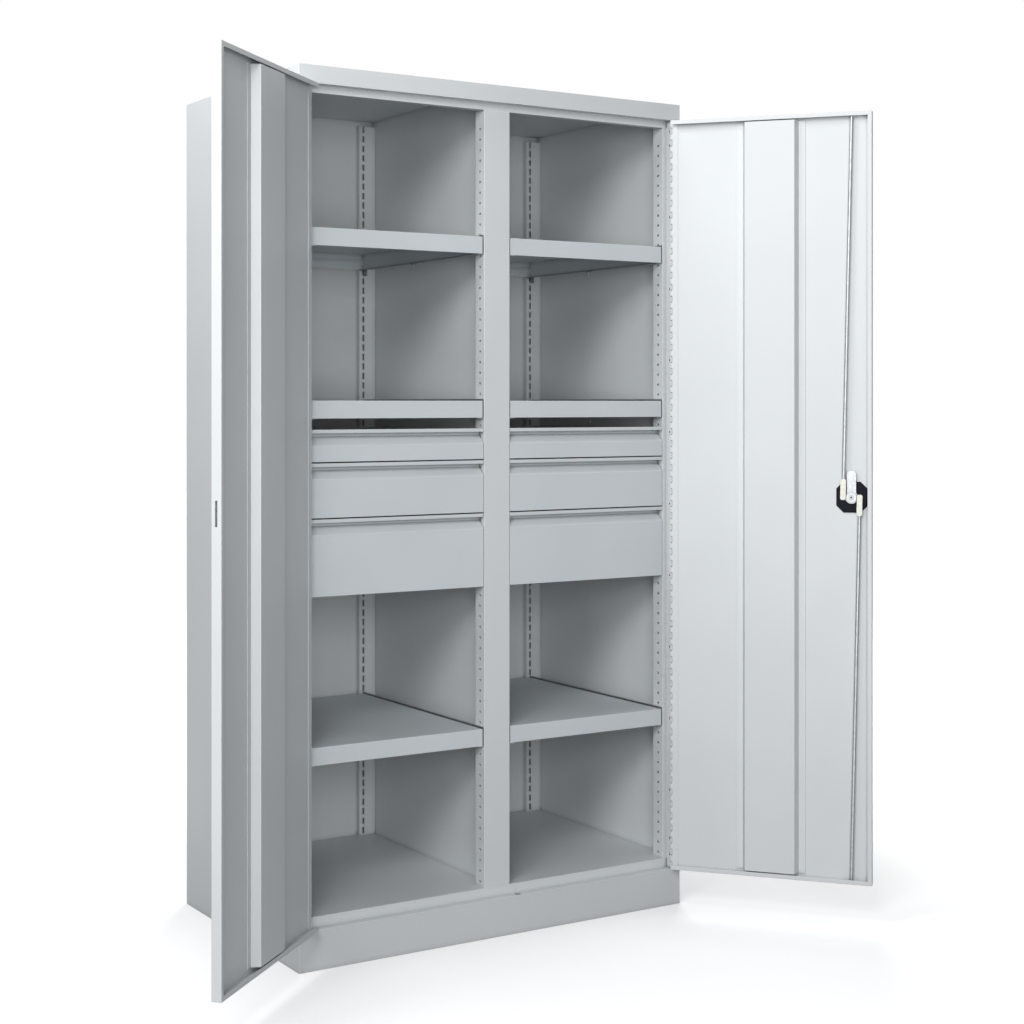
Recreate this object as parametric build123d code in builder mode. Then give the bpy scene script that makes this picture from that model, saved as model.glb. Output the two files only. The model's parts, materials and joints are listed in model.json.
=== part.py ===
"""Two-door steel tool cabinet: welded body, centre partition, shelves, drawers and a three-point lock.

Millimetres, +Z up, the front faces -Y. The origin is on the floor, at mid-width,
in the plane of the lips that the doors close on. Door pieces are drawn with the doors
shut and are then swung to the opening angles below.
"""

from build123d import *
import math
import os

# ---------------------------------------------------------------- body
HEIGHT = 2000.0
WIDTH = 1050.0
DEPTH = 650.0
SHEET = 1.2
DOOR_DEPTH = 22.0  # front faces to the lips behind the doors
FASCIA_HEIGHT = 40.0
PLINTH_HEIGHT = 90.0
HEADER_DROP = 17.0  # header lip below the fascia
HEADER_HEM = 20.0
SILL_RISE = 22.5  # floor above the plinth
SILL_DEPTH = 40.0
FLOOR_FLANGE = 25.0  # turned-in feet of the plinth and sides
JAMB_FACE = 24.0  # front face of each outer post
POST_LIP = 12.0
POST_RETURN = 40.0  # perforated side of each post
CENTRE_POST_WIDTH = 70.0
LIP_GAP = 2.0  # header and sill lips to the jambs

# ---------------------------------------------------------------- perforations
HOLE = 6.0
HOLE_PITCH = 50.0
HOLE_START = 150.0
HOLE_COUNT = 36
HOLE_INSET = 20.0  # behind the post's front
SLOT_WIDTH = 3.0
SLOT_HEIGHT = 15.0
UPRIGHT_WIDTH = 47.0
UPRIGHT_STANDOFF = 15.0  # upright face ahead of the back panel

# ---------------------------------------------------------------- shelves
SHELF_TOPS = (1645.0, 1259.0, 487.0)
SHELF_SHEET = 1.0
SHELF_LIP = 40.0
SHELF_HEM = 12.0
SHELF_GROOVE = (22.0, 20.0, 4.0)  # along the rear lip: middle below the top, width, depth
SHELF_GAP = 2.0  # shelf to rail
SHELF_FRONT = 2.0
SHELF_BACK_GAP = 1.3  # shelf to the rear uprights
RAIL_SHEET = 1.5
RAIL_START = 3.0
RAIL_LEDGE = 14.0
RAIL_RISE = 4.0  # rail above the shelf
RAIL_BACK_GAP = 1.0
HOOK_HEIGHT = 12.0
HOOK_REACH = 3.0
HOOK_PLATE = 20.0  # taller end of a rail, which carries its hook

# ---------------------------------------------------------------- drawers
DRAWERS_TOP = 1194.0
DRAWERS = {  # pitch, then the grooves below the top of the box
    "upper": (75.0, ()),
    "middle": (125.0, (40.0,)),
    "lower": (175.0, (40.0, 114.0)),
}
DRAWER_SHEET = 1.0
DRAWER_GAP = 3.0  # between fronts, one above another
FRONT_SHEET = 1.2
FRONT_SIDE_GAP = 1.5
FRONT_FACE = 1.0  # front face behind the posts' faces
FRONT_RETURN = 15.0
GRIP_DEPTH = 20.0
GRIP_SLOPE = 20.0
GRIP_WALL = 15.0
GRIP_LIP = 8.0
BOX_LENGTH = 555.0
BOX_RISE = 6.0  # box above the front's lower edge
BOX_DROP = 4.0  # box below the front's upper edge
BOX_HEM = 6.0
GROOVE_WIDTH = 25.0
GROOVE_DEPTH = 5.0
RUNNER_SPACE = 12.5  # post to drawer box
RUNNER_RISE = 22.0  # runner's middle above the front's lower edge
RUNNER_HEIGHT = 30.0
RUNNER_FLANGE = 8.0
RUNNER_START = 24.0
SLIDE_BELOW = 14.0  # slide's web under its fin
SLIDE_ABOVE = 6.0
FIN_SHEET = 1.2
FIN_GAP = 1.5
GLIDE_LENGTH = 40.0
GLIDE_WIDTH = 6.0
GLIDE_CLEARANCE = 0.2
SHOE_LENGTH = 30.0
SHOE_CLEARANCE = 0.3

# ---------------------------------------------------------------- doors and hinges
DOOR_SHEET = 1.2
DOOR_GAP = 4.0  # to the fascia and the plinth
DOOR_MIDDLE_GAP = 3.0
DOOR_CLOSING_GAP = 0.8  # door lips to the body's lips
DOOR_LIP = 10.0
LEFT_OPENING = 138.5
RIGHT_OPENING = 129.7
KNUCKLE_COUNT = 9
KNUCKLE_RADIUS = 3.0
KNUCKLE_GAP = 0.4
PIN_RADIUS = 1.5
PIN_CLEARANCE = 0.08
PIN_STANDOFF = 0.8  # pin ahead of the front faces
LEAF_SHEET = 1.0
LEAF_WIDTH = 18.0
DOOR_EDGE_GAP = 0.6  # door skin to knuckles
RIVET_COUNT = 13
RIVET_END = 48.0
RIVET_RADIUS = 2.5
RIVET_HEIGHT = 0.8
RIVET_INSET = 14.0  # behind the hinge pin
HAT_FACE = 120.0
HAT_SLOPE = 8.0
HAT_FLANGE = 17.0
HAT_TOP_GAP = 3.0
HAT_BOTTOM_GAP = 17.0

# ---------------------------------------------------------------- lock
LOCK_INSET = 49.5  # from the door's free edge
LOCK_HEIGHT = 1026.0
CAM_PLANE = 12.0  # middle of the cam ahead of the closing plane
ROD_PLANE = 11.0
HOUSING_SIZE = 75.0
HOUSING_CORNER = 17.0
HOUSING_DEPTH = 5.0
HOUSING_BEVEL = 3.0
ROSETTE_SIZE = 86.0
ROSETTE_CORNER = 12.0
ROSETTE_DEPTH = 5.0
DISH_RADIUS = 37.0
DISH_DEPTH = 3.0
NECK_RADIUS = 25.0
NECK_HEIGHT = 6.0
SPINDLE_RADIUS = 7.0
SPINDLE_CLEARANCE = 0.05
TURNING_GAP = 0.3
GRIP_LENGTH = 68.0
GRIP_WIDTH = 21.0
GRIP_HEIGHT = 17.0
GRIP_CORNER = 6.0
GRIP_EDGE = 3.0
SQUARE = 8.0
SQUARE_CLEARANCE = 0.1
KEY_RADIUS = 6.0
KEY_DEPTH = 14.0
KEY_PROUD = 0.6
KEYWAY = (1.6, 7.0, 3.0)
CAM_SHEET = 3.0
CAM_RADIUS = 20.0
ARM_WIDTH = 12.0
ARM_CORNER = 3.5
HUB_RADIUS = 15.0
BOSS_RADIUS = 12.0
BOSS_HEIGHT = 3.5
TONGUE_WIDTH = 22.0
TONGUE_REACH = 64.0
TONGUE_CORNER = 5.0
TONGUE_CLEARANCE = 1.0
SCREW_RADIUS = 5.0
SCREW_HEAD = 2.5
CRANK_RADIUS = 2.5
CRANK_PROUD = 0.5
ROD_RADIUS = 4.0
ROD_REACH = 1.0  # unlocked rod beyond the door's edge
ROD_POINT = 6.0
ROD_LEAN = 20.6  # sideways over an unlocked rod's length
ROD_HOLE_RADIUS = 8.0
ROD_STUB = 16.0  # squared end of a rod, seated in its fork
ROD_STUB_WIDTH = 4.0
FORK_WIDTH = 13.0
FORK_DEPTH = 8.6
FORK_LENGTH = 51.0
FORK_CORNER = 3.0
FORK_SLOT = 10.0  # beyond the crank pin
FORK_CLEARANCE = 0.3
GUIDE_LENGTH = 22.0
GUIDE_WIDTH = 10.0

# ---------------------------------------------------------------- places
HALF = WIDTH / 2
INSIDE = HALF - SHEET
FRONT = -DOOR_DEPTH
BACK = DEPTH - DOOR_DEPTH
BACK_INSIDE = BACK - SHEET
ROOF_INSIDE = HEIGHT - SHEET
FASCIA_BOTTOM = HEIGHT - FASCIA_HEIGHT
HEADER_BOTTOM = FASCIA_BOTTOM - HEADER_DROP
FLOOR_TOP = PLINTH_HEIGHT + SILL_RISE
JAMB = HALF - JAMB_FACE
POST_INNER = JAMB - POST_LIP
CENTRE = CENTRE_POST_WIDTH / 2
BAY_X = (POST_INNER + CENTRE) / 2
BAY_HALF = (POST_INNER - CENTRE) / 2
UPRIGHT_Y = BACK_INSIDE - UPRIGHT_STANDOFF
UPRIGHT_TOP = ROOF_INSIDE - UPRIGHT_STANDOFF
RAIL_END = UPRIGHT_Y - RAIL_BACK_GAP
BOX_START = FRONT_FACE + GRIP_DEPTH + FRONT_SHEET

HINGE_X = JAMB - KNUCKLE_RADIUS
HINGE_Y = FRONT - PIN_STANDOFF
DOOR_FREE = DOOR_MIDDLE_GAP / 2
DOOR_HINGED = HINGE_X - KNUCKLE_RADIUS - DOOR_EDGE_GAP
DOOR_BOTTOM = PLINTH_HEIGHT + DOOR_GAP
DOOR_TOP = FASCIA_BOTTOM - DOOR_GAP
DOOR_HEIGHT = DOOR_TOP - DOOR_BOTTOM
SKIN_INSIDE = FRONT + DOOR_SHEET
DOOR_INNER = -DOOR_CLOSING_GAP

LOCK_X = DOOR_FREE + LOCK_INSET
LOCK_POINT = (LOCK_X, LOCK_HEIGHT)
CAM_BACK = -CAM_PLANE - CAM_SHEET / 2
CAM_FACE = -CAM_PLANE + CAM_SHEET / 2
NECK_BACK = FRONT - ROSETTE_DEPTH + DISH_DEPTH - TURNING_GAP
GRIP_BACK = NECK_BACK - NECK_HEIGHT
GRIP_FACE = GRIP_BACK - GRIP_HEIGHT

os.makedirs("parts", exist_ok=True)


def publish(shape, name):
    """Labels a finished piece and writes it as its own STEP file."""
    shape.label = name
    export_step(shape, f"parts/{name}.step")


def slot_below(height):
    """Height of the first slot at or under a height."""
    return HOLE_START + HOLE_PITCH * math.floor((height - HOLE_START) / HOLE_PITCH)


def fold(points, sheet):
    """Adds the outline of a sheet bent along the points, its thickness on their left."""
    corners = [Vector(*point) for point in points]
    runs = [(b - a).normalized() for a, b in zip(corners, corners[1:])]
    lefts = [Vector(-run.Y, run.X) for run in runs]
    far = [corners[0] + lefts[0] * sheet]
    for corner, before, after in zip(corners[1:], lefts, lefts[1:]):
        middle = before + after
        far.append(corner + middle * (sheet / middle.dot(after)))
    far.append(corners[-1] + lefts[-1] * sheet)
    with BuildLine(mode=Mode.PRIVATE) as outline:
        Polyline(*corners, *reversed(far), close=True)
    make_face(outline.edges())


def block(x0, x1, y0, y1, z0, z1, mode=Mode.ADD):
    """Adds or cuts a box between opposite corners."""
    with Locations(((x0 + x1) / 2, (y0 + y1) / 2, (z0 + z1) / 2)):
        Box(abs(x1 - x0), abs(y1 - y0), abs(z1 - z0), mode=mode)


def perforate(plane, across, width, height, thickness):
    """Cuts the row of perforations at one place across a sheet that lies on the plane."""
    middle = HOLE_START + HOLE_PITCH * (HOLE_COUNT - 1) / 2
    with BuildSketch(plane) as row:
        with Locations((across, middle)):
            with GridLocations(HOLE_PITCH, HOLE_PITCH, 1, HOLE_COUNT):
                Rectangle(width, height)
    extrude(row.sketch, amount=thickness, mode=Mode.SUBTRACT)


def pierce(plane, point, radius, thickness):
    """Cuts a twelve-sided hole, clear of a shaft of that radius, into what lies on the plane."""
    with BuildSketch(plane) as hole:
        with Locations(point):
            RegularPolygon(radius, 12, major_radius=False)
    extrude(hole.sketch, amount=thickness, mode=Mode.SUBTRACT)


# ================================================================ body
with BuildPart() as side_panel:
    block(INSIDE, HALF, FRONT, BACK, 0, HEIGHT)
    block(INSIDE - FLOOR_FLANGE, INSIDE, FLOOR_FLANGE + SHEET, BACK_INSIDE, 0, SHEET)
publish(side_panel.part, "side_panel_right")
publish(mirror(side_panel.part, about=Plane.YZ), "side_panel_left")

with BuildPart() as back_panel:
    block(-INSIDE, INSIDE, BACK_INSIDE, BACK, 0, ROOF_INSIDE)
publish(back_panel.part, "back_panel")

with BuildPart() as roof:
    with BuildSketch(Plane.YZ):
        fold(
            [
                (SHEET, FASCIA_BOTTOM),
                (FRONT, FASCIA_BOTTOM),
                (FRONT, HEIGHT),
                (BACK, HEIGHT),
            ],
            -SHEET,
        )
    extrude(amount=INSIDE, both=True)
    block(LIP_GAP - JAMB, JAMB - LIP_GAP, 0, SHEET, HEADER_BOTTOM, FASCIA_BOTTOM)
    for bay in (-BAY_X, BAY_X):
        block(
            bay - BAY_HALF + LIP_GAP,
            bay + BAY_HALF - LIP_GAP,
            0,
            HEADER_HEM,
            HEADER_BOTTOM,
            HEADER_BOTTOM + SHEET,
        )
    pierce(Plane.XY.offset(FASCIA_BOTTOM), (LOCK_X, -ROD_PLANE), ROD_HOLE_RADIUS, SHEET)
publish(roof.part, "roof")

with BuildPart() as plinth:
    with BuildSketch(Plane.YZ):
        fold(
            [
                (FLOOR_FLANGE, 0),
                (FRONT, 0),
                (FRONT, PLINTH_HEIGHT),
                (SILL_DEPTH, PLINTH_HEIGHT),
            ],
            -SHEET,
        )
    extrude(amount=INSIDE, both=True)
    pierce(
        Plane.XY.offset(PLINTH_HEIGHT), (LOCK_X, -ROD_PLANE), ROD_HOLE_RADIUS, -SHEET
    )
publish(plinth.part, "plinth")

with BuildPart() as floor_pan:
    block(-INSIDE, INSIDE, 0, BACK_INSIDE, FLOOR_TOP - SHEET, FLOOR_TOP)
    block(-INSIDE, -JAMB + LIP_GAP, 0, SHEET, FLOOR_TOP - SHEET, FLOOR_TOP, Mode.SUBTRACT)
    block(JAMB - LIP_GAP, INSIDE, 0, SHEET, FLOOR_TOP - SHEET, FLOOR_TOP, Mode.SUBTRACT)
    block(LIP_GAP - JAMB, JAMB - LIP_GAP, 0, SHEET, PLINTH_HEIGHT, FLOOR_TOP)
    block(
        -INSIDE, INSIDE, BACK_INSIDE - SHEET, BACK_INSIDE, PLINTH_HEIGHT, FLOOR_TOP
    )
publish(floor_pan.part, "floor_pan")

with BuildPart() as front_post:
    with BuildSketch(Plane.XY.offset(PLINTH_HEIGHT)):
        fold([(JAMB, SHEET), (JAMB, FRONT), (INSIDE, FRONT)], SHEET)
    extrude(amount=FASCIA_BOTTOM - PLINTH_HEIGHT)
    with BuildSketch(Plane.XY.offset(FLOOR_TOP)):
        fold(
            [
                (INSIDE, POST_RETURN),
                (POST_INNER, POST_RETURN),
                (POST_INNER, 0),
                (JAMB, 0),
            ],
            SHEET,
        )
    extrude(amount=HEADER_BOTTOM - FLOOR_TOP)
    perforate(Plane.YZ.offset(POST_INNER), HOLE_INSET, HOLE, HOLE, SHEET)
publish(front_post.part, "front_post_right")
publish(mirror(front_post.part, about=Plane.YZ), "front_post_left")

with BuildPart() as centre_post:
    with BuildSketch(Plane.XY.offset(FLOOR_TOP)):
        fold(
            [
                (-SHEET / 2, POST_RETURN),
                (-CENTRE, POST_RETURN),
                (-CENTRE, 0),
                (CENTRE, 0),
                (CENTRE, POST_RETURN),
                (SHEET / 2, POST_RETURN),
            ],
            SHEET,
        )
    extrude(amount=HEADER_BOTTOM - FLOOR_TOP)
    for wall in (-CENTRE, CENTRE - SHEET):
        perforate(Plane.YZ.offset(wall), HOLE_INSET, HOLE, HOLE, SHEET)
publish(centre_post.part, "centre_post")

with BuildPart() as partition:
    with BuildSketch(Plane.XY.offset(FLOOR_TOP)):
        fold(
            [
                (FLOOR_FLANGE, BACK_INSIDE),
                (-SHEET / 2, BACK_INSIDE),
                (-SHEET / 2, SHEET),
            ],
            SHEET,
        )
    extrude(amount=ROOF_INSIDE - FLOOR_TOP)
publish(partition.part, "centre_partition")

with BuildPart() as uprights:
    for wall, inward, seat in (
        (INSIDE, -1, POST_INNER - RAIL_SHEET / 2),
        (SHEET / 2, 1, CENTRE + RAIL_SHEET / 2),
    ):
        edge = wall + inward * UPRIGHT_WIDTH
        with BuildSketch(Plane.XY.offset(FLOOR_TOP)):
            fold(
                [(edge, BACK_INSIDE), (edge, UPRIGHT_Y), (wall, UPRIGHT_Y)],
                -inward * SHEET,
            )
        extrude(amount=UPRIGHT_TOP - FLOOR_TOP)
        perforate(
            Plane.XZ.offset(-UPRIGHT_Y), seat, SLOT_WIDTH, SLOT_HEIGHT, -SHEET
        )
    mirror(about=Plane.YZ)
publish(uprights.part, "rear_uprights")


# ================================================================ shelves
def carrier(wall, inward, low, high, start):
    """Adds a strip along a bay's wall, with the plate and the hook at its rear end."""
    face = wall + inward * RAIL_SHEET
    slot = slot_below(high - HOOK_HEIGHT / 2)
    block(wall, face, start, RAIL_END, low, high)
    block(wall, face, RAIL_END - HOOK_PLATE, RAIL_END, slot - HOOK_HEIGHT, high)
    block(
        wall,
        face,
        RAIL_END,
        UPRIGHT_Y + SHEET + HOOK_REACH,
        slot - HOOK_HEIGHT / 2,
        slot + HOOK_HEIGHT / 2,
    )


WALLS = [
    (bay + side * BAY_HALF, -side) for bay in (-BAY_X, BAY_X) for side in (-1, 1)
]

with BuildPart() as rails:
    for wall, inward in WALLS:
        for top in SHELF_TOPS:
            seat = top - SHELF_LIP
            carrier(wall, inward, seat - RAIL_SHEET, top + RAIL_RISE, RAIL_START)
            block(
                wall,
                wall + inward * (RAIL_SHEET + RAIL_LEDGE),
                RAIL_START,
                RAIL_END,
                seat - RAIL_SHEET,
                seat,
            )
publish(rails.part, "shelf_rails")

with BuildPart() as shelf:
    half = BAY_HALF - RAIL_SHEET - SHELF_GAP
    back = UPRIGHT_Y - SHELF_BACK_GAP
    block(-half, half, SHELF_FRONT, back, -SHELF_LIP, 0)
    block(
        SHELF_SHEET - half,
        half - SHELF_SHEET,
        SHELF_FRONT + SHELF_SHEET,
        back,
        -SHELF_LIP,
        -SHELF_SHEET,
        Mode.SUBTRACT,
    )
    drop, width, depth = SHELF_GROOVE
    with BuildSketch(Plane.YZ):
        fold(
            [
                (back, -SHELF_SHEET),
                (back, width / 2 - drop),
                (back - depth, -drop),
                (back, -width / 2 - drop),
                (back, -SHELF_LIP),
            ],
            -SHELF_SHEET,
        )
    extrude(amount=half - SHELF_SHEET, both=True)
    block(
        -half,
        half,
        SHELF_FRONT,
        SHELF_FRONT + SHELF_HEM,
        -SHELF_LIP,
        SHELF_SHEET - SHELF_LIP,
    )
for side, bay in (("left", -BAY_X), ("right", BAY_X)):
    for level, top in zip(("upper", "middle", "lower"), SHELF_TOPS):
        publish(shelf.part.moved(Location((bay, 0, top))), f"shelf_{side}_{level}")


# ================================================================ drawers
def drawer_front(height):
    """Makes a drawer front with its grip recess; its lower edge is at z = 0."""
    face = FRONT_FACE
    deep = face + GRIP_DEPTH
    lip = height - FRONT_SHEET
    with BuildPart() as front:
        with BuildSketch(Plane.YZ):
            fold(
                [
                    (face + FRONT_RETURN, 0),
                    (face, 0),
                    (face, height - GRIP_WALL - GRIP_SLOPE),
                    (deep, height - GRIP_WALL),
                    (deep, lip),
                    (face + FRONT_SHEET, lip),
                    (face + FRONT_SHEET, height - GRIP_LIP),
                ],
                -FRONT_SHEET,
            )
        extrude(amount=BAY_HALF - FRONT_SIDE_GAP, both=True)
    return front.part


def drawer_box(height, grooves):
    """Makes the open box behind a drawer front, with grooves pressed along its sides."""
    half = BAY_HALF - RUNNER_SPACE
    low = BOX_RISE
    high = height - BOX_DROP
    side = []
    for drop in reversed(grooves):
        side += [
            (half, high - drop - GROOVE_WIDTH / 2),
            (half - GROOVE_DEPTH, high - drop),
            (half, high - drop + GROOVE_WIDTH / 2),
        ]
    right = [(half, low), *side, (half, high), (half - BOX_HEM, high)]
    left = [(-x, z) for x, z in reversed(right)]
    with BuildPart() as box:
        with BuildSketch(Plane.XZ.offset(-BOX_START)):
            fold([*left, *right], DRAWER_SHEET)
        extrude(amount=-BOX_LENGTH)
        for wall in (BOX_START, BOX_START + BOX_LENGTH - DRAWER_SHEET):
            block(-half, half, wall, wall + DRAWER_SHEET, low, high - DRAWER_SHEET)
    return box.part


def drawer_slides():
    """Makes the two finned slides on a drawer's box, on z = 0 at the runners' middle."""
    with BuildPart() as slides:
        for side in (-1, 1):
            outer = side * (BAY_HALF - RUNNER_SPACE)
            web = outer + side * FIN_SHEET
            tip = side * (BAY_HALF - RAIL_SHEET - FIN_GAP)
            end = BOX_START + BOX_LENGTH
            grip = RUNNER_HEIGHT / 2 - RAIL_SHEET - SHOE_CLEARANCE
            block(outer, web, BOX_START, end, -SLIDE_BELOW, SLIDE_ABOVE)
            block(web, tip, BOX_START, end, -FIN_SHEET / 2, FIN_SHEET / 2)
            block(web, tip, end - SHOE_LENGTH, end, -grip, grip)
    return slides.part


with BuildPart() as runners:
    for wall, inward in WALLS:
        high = DRAWERS_TOP
        for pitch, _ in DRAWERS.values():
            middle = high - pitch + DRAWER_GAP + RUNNER_RISE
            top = middle + RUNNER_HEIGHT / 2
            foot = middle - RUNNER_HEIGHT / 2
            flange = wall + inward * (RAIL_SHEET + RUNNER_FLANGE)
            carrier(wall, inward, foot, top, RUNNER_START)
            block(wall, flange, RUNNER_START, RAIL_END, foot, foot + RAIL_SHEET)
            block(wall, flange, RUNNER_START, RAIL_END, top - RAIL_SHEET, top)
            high -= pitch
publish(runners.part, "cabinet_runners")

with BuildPart() as glides:
    for wall, inward in WALLS:
        high = DRAWERS_TOP
        for pitch, _ in DRAWERS.values():
            middle = high - pitch + DRAWER_GAP + RUNNER_RISE
            face = wall + inward * RAIL_SHEET
            for up in (-1, 1):
                block(
                    face,
                    face + inward * GLIDE_WIDTH,
                    RUNNER_START,
                    RUNNER_START + GLIDE_LENGTH,
                    middle + up * (FIN_SHEET / 2 + GLIDE_CLEARANCE),
                    middle + up * (RUNNER_HEIGHT / 2 - RAIL_SHEET),
                )
            high -= pitch
publish(glides.part, "runner_glides")

for side, bay in (("left", -BAY_X), ("right", BAY_X)):
    high = DRAWERS_TOP
    for level, (pitch, grooves) in DRAWERS.items():
        low = high - pitch + DRAWER_GAP
        place = Location((bay, 0, low))
        name = f"drawer_{side}_{level}"
        publish(drawer_front(high - low).moved(place), f"{name}_front")
        publish(drawer_box(high - low, grooves).moved(place), f"{name}_box")
        slides = drawer_slides().moved(Location((bay, 0, low + RUNNER_RISE)))
        publish(slides, f"{name}_slides")
        high -= pitch


# ================================================================ doors
def open_door(shape, side):
    """Swings a piece of the right door, or its mirror image, to the opening angle."""
    if side == "right":
        hinge = Axis((HINGE_X, HINGE_Y, 0), (0, 0, 1))
        return shape.rotate(hinge, RIGHT_OPENING)
    hinge = Axis((-HINGE_X, HINGE_Y, 0), (0, 0, 1))
    return mirror(shape, about=Plane.YZ).rotate(hinge, -LEFT_OPENING)


def door_tray(slot_low, slot_high):
    """Makes a door's folded tray; the slot in its free edge passes the lock's tongue."""
    edge = DOOR_FREE + DOOR_SHEET
    lip = DOOR_INNER - DOOR_SHEET
    with BuildPart() as tray:
        block(DOOR_FREE, DOOR_HINGED, FRONT, SKIN_INSIDE, DOOR_BOTTOM, DOOR_TOP)
        for end, inward in ((DOOR_BOTTOM, 1), (DOOR_TOP, -1)):
            fold_line = end + inward * DOOR_SHEET
            block(DOOR_FREE, DOOR_HINGED, FRONT, DOOR_INNER, end, fold_line)
            block(
                DOOR_FREE, DOOR_HINGED, lip, DOOR_INNER, end, end + inward * DOOR_LIP
            )
        block(DOOR_FREE, edge, FRONT, DOOR_INNER, DOOR_BOTTOM, DOOR_TOP)
        block(DOOR_FREE, DOOR_FREE + DOOR_LIP, lip, DOOR_INNER, DOOR_BOTTOM, DOOR_TOP)
        block(
            DOOR_FREE,
            edge,
            CAM_BACK - TONGUE_CLEARANCE,
            CAM_FACE + TONGUE_CLEARANCE,
            LOCK_HEIGHT + slot_low,
            LOCK_HEIGHT + slot_high,
            Mode.SUBTRACT,
        )
    return tray.part


def tongue_sweep(distance):
    """Half height that the turning tongue needs at a distance from the lock's middle."""
    corner = TONGUE_WIDTH / 2
    reach = math.hypot(TONGUE_REACH, corner - TONGUE_CORNER / 2)
    return math.sqrt(reach**2 - distance**2) + TONGUE_CLEARANCE


slot_low = -TONGUE_WIDTH / 2 - TONGUE_CLEARANCE * 2
own_slot = tongue_sweep(LOCK_INSET - DOOR_SHEET)
other_slot = tongue_sweep(LOCK_INSET + DOOR_MIDDLE_GAP)

with BuildPart() as lock_door:
    add(door_tray(slot_low, own_slot))
    for end in (DOOR_BOTTOM, DOOR_TOP):
        with Locations((LOCK_X, -ROD_PLANE, end)):
            Box(GUIDE_LENGTH, GUIDE_WIDTH, DOOR_SHEET * 2, mode=Mode.SUBTRACT)
    pierce(
        Plane.XZ.offset(-FRONT), LOCK_POINT, SPINDLE_RADIUS + TURNING_GAP, -DOOR_SHEET
    )
publish(open_door(lock_door.part, "right"), "door_right")
publish(open_door(door_tray(slot_low, other_slot), "left"), "door_left")

with BuildPart() as stiffener:
    middle = (DOOR_FREE + DOOR_HINGED) / 2
    face = HAT_FACE / 2
    foot = face + HAT_SLOPE
    with BuildSketch(Plane.XY.offset(DOOR_BOTTOM + DOOR_LIP + HAT_BOTTOM_GAP)):
        fold(
            [
                (middle - foot - HAT_FLANGE, SKIN_INSIDE),
                (middle - foot, SKIN_INSIDE),
                (middle - face, DOOR_INNER - DOOR_SHEET),
                (middle + face, DOOR_INNER - DOOR_SHEET),
                (middle + foot, SKIN_INSIDE),
                (middle + foot + HAT_FLANGE, SKIN_INSIDE),
            ],
            DOOR_SHEET,
        )
    extrude(amount=DOOR_HEIGHT - 2 * DOOR_LIP - HAT_BOTTOM_GAP - HAT_TOP_GAP)
for side in ("left", "right"):
    publish(open_door(stiffener.part, side), f"door_{side}_stiffener")


# ================================================================ hinges
def hinge_leaf(plate, tab, first, margin):
    """Makes a leaf from its plate, a tab over the pin and every other knuckle."""
    pitch = DOOR_HEIGHT / KNUCKLE_COUNT
    length = pitch - KNUCKLE_GAP
    bore = (PIN_RADIUS + PIN_CLEARANCE) / math.cos(math.pi / 8)
    with BuildPart() as leaf:
        block(*plate, DOOR_BOTTOM + margin, DOOR_TOP - margin)
        for index in range(first, KNUCKLE_COUNT, 2):
            low = DOOR_BOTTOM + index * pitch + KNUCKLE_GAP / 2
            block(*tab, low, low + length)
            with BuildSketch(Plane.XY.offset(low)):
                with Locations((HINGE_X, HINGE_Y)):
                    RegularPolygon(KNUCKLE_RADIUS, 8)
            extrude(amount=length)
            with BuildSketch(Plane.XY.offset(low)):
                with Locations((HINGE_X, HINGE_Y)):
                    RegularPolygon(bore, 8)
            extrude(amount=length, mode=Mode.SUBTRACT)
    return leaf.part


clear = KNUCKLE_RADIUS + KNUCKLE_GAP
frame_leaf = hinge_leaf(
    (JAMB - LEAF_SHEET, JAMB, HINGE_Y + clear, HINGE_Y + LEAF_WIDTH),
    (JAMB - LEAF_SHEET, JAMB, HINGE_Y, HINGE_Y + clear),
    0,
    0,
)
publish(frame_leaf, "hinge_frame_leaf_right")
publish(mirror(frame_leaf, about=Plane.YZ), "hinge_frame_leaf_left")

door_leaf = hinge_leaf(
    (HINGE_X - LEAF_WIDTH, HINGE_X - clear, SKIN_INSIDE, SKIN_INSIDE + LEAF_SHEET),
    (HINGE_X - clear, HINGE_X, SKIN_INSIDE, SKIN_INSIDE + LEAF_SHEET),
    1,
    DOOR_SHEET,
)
for side in ("left", "right"):
    publish(open_door(door_leaf, side), f"hinge_door_leaf_{side}")

with BuildPart() as pin:
    with Locations((HINGE_X, HINGE_Y, DOOR_BOTTOM)):
        Cylinder(
            PIN_RADIUS, DOOR_HEIGHT, align=(Align.CENTER, Align.CENTER, Align.MIN)
        )
publish(pin.part, "hinge_pin_right")
publish(mirror(pin.part, about=Plane.YZ), "hinge_pin_left")

with BuildPart() as rivets:
    pitch = (DOOR_HEIGHT - 2 * RIVET_END) / (RIVET_COUNT - 1)
    middle = (DOOR_BOTTOM + DOOR_TOP) / 2
    with BuildSketch(Plane.YZ.offset(JAMB - LEAF_SHEET)):
        with Locations((HINGE_Y + RIVET_INSET, middle)):
            with GridLocations(pitch, pitch, 1, RIVET_COUNT):
                RegularPolygon(RIVET_RADIUS, 6)
    extrude(amount=-RIVET_HEIGHT)
    mirror(about=Plane.YZ)
publish(rivets.part, "hinge_rivets")

# ================================================================ lock
LOCK_AXIS = Axis((LOCK_X, 0, LOCK_HEIGHT), (0, 1, 0))
SPINDLE_BORE = SPINDLE_RADIUS + SPINDLE_CLEARANCE
KEY_BORE = KEY_RADIUS + SPINDLE_CLEARANCE

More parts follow.
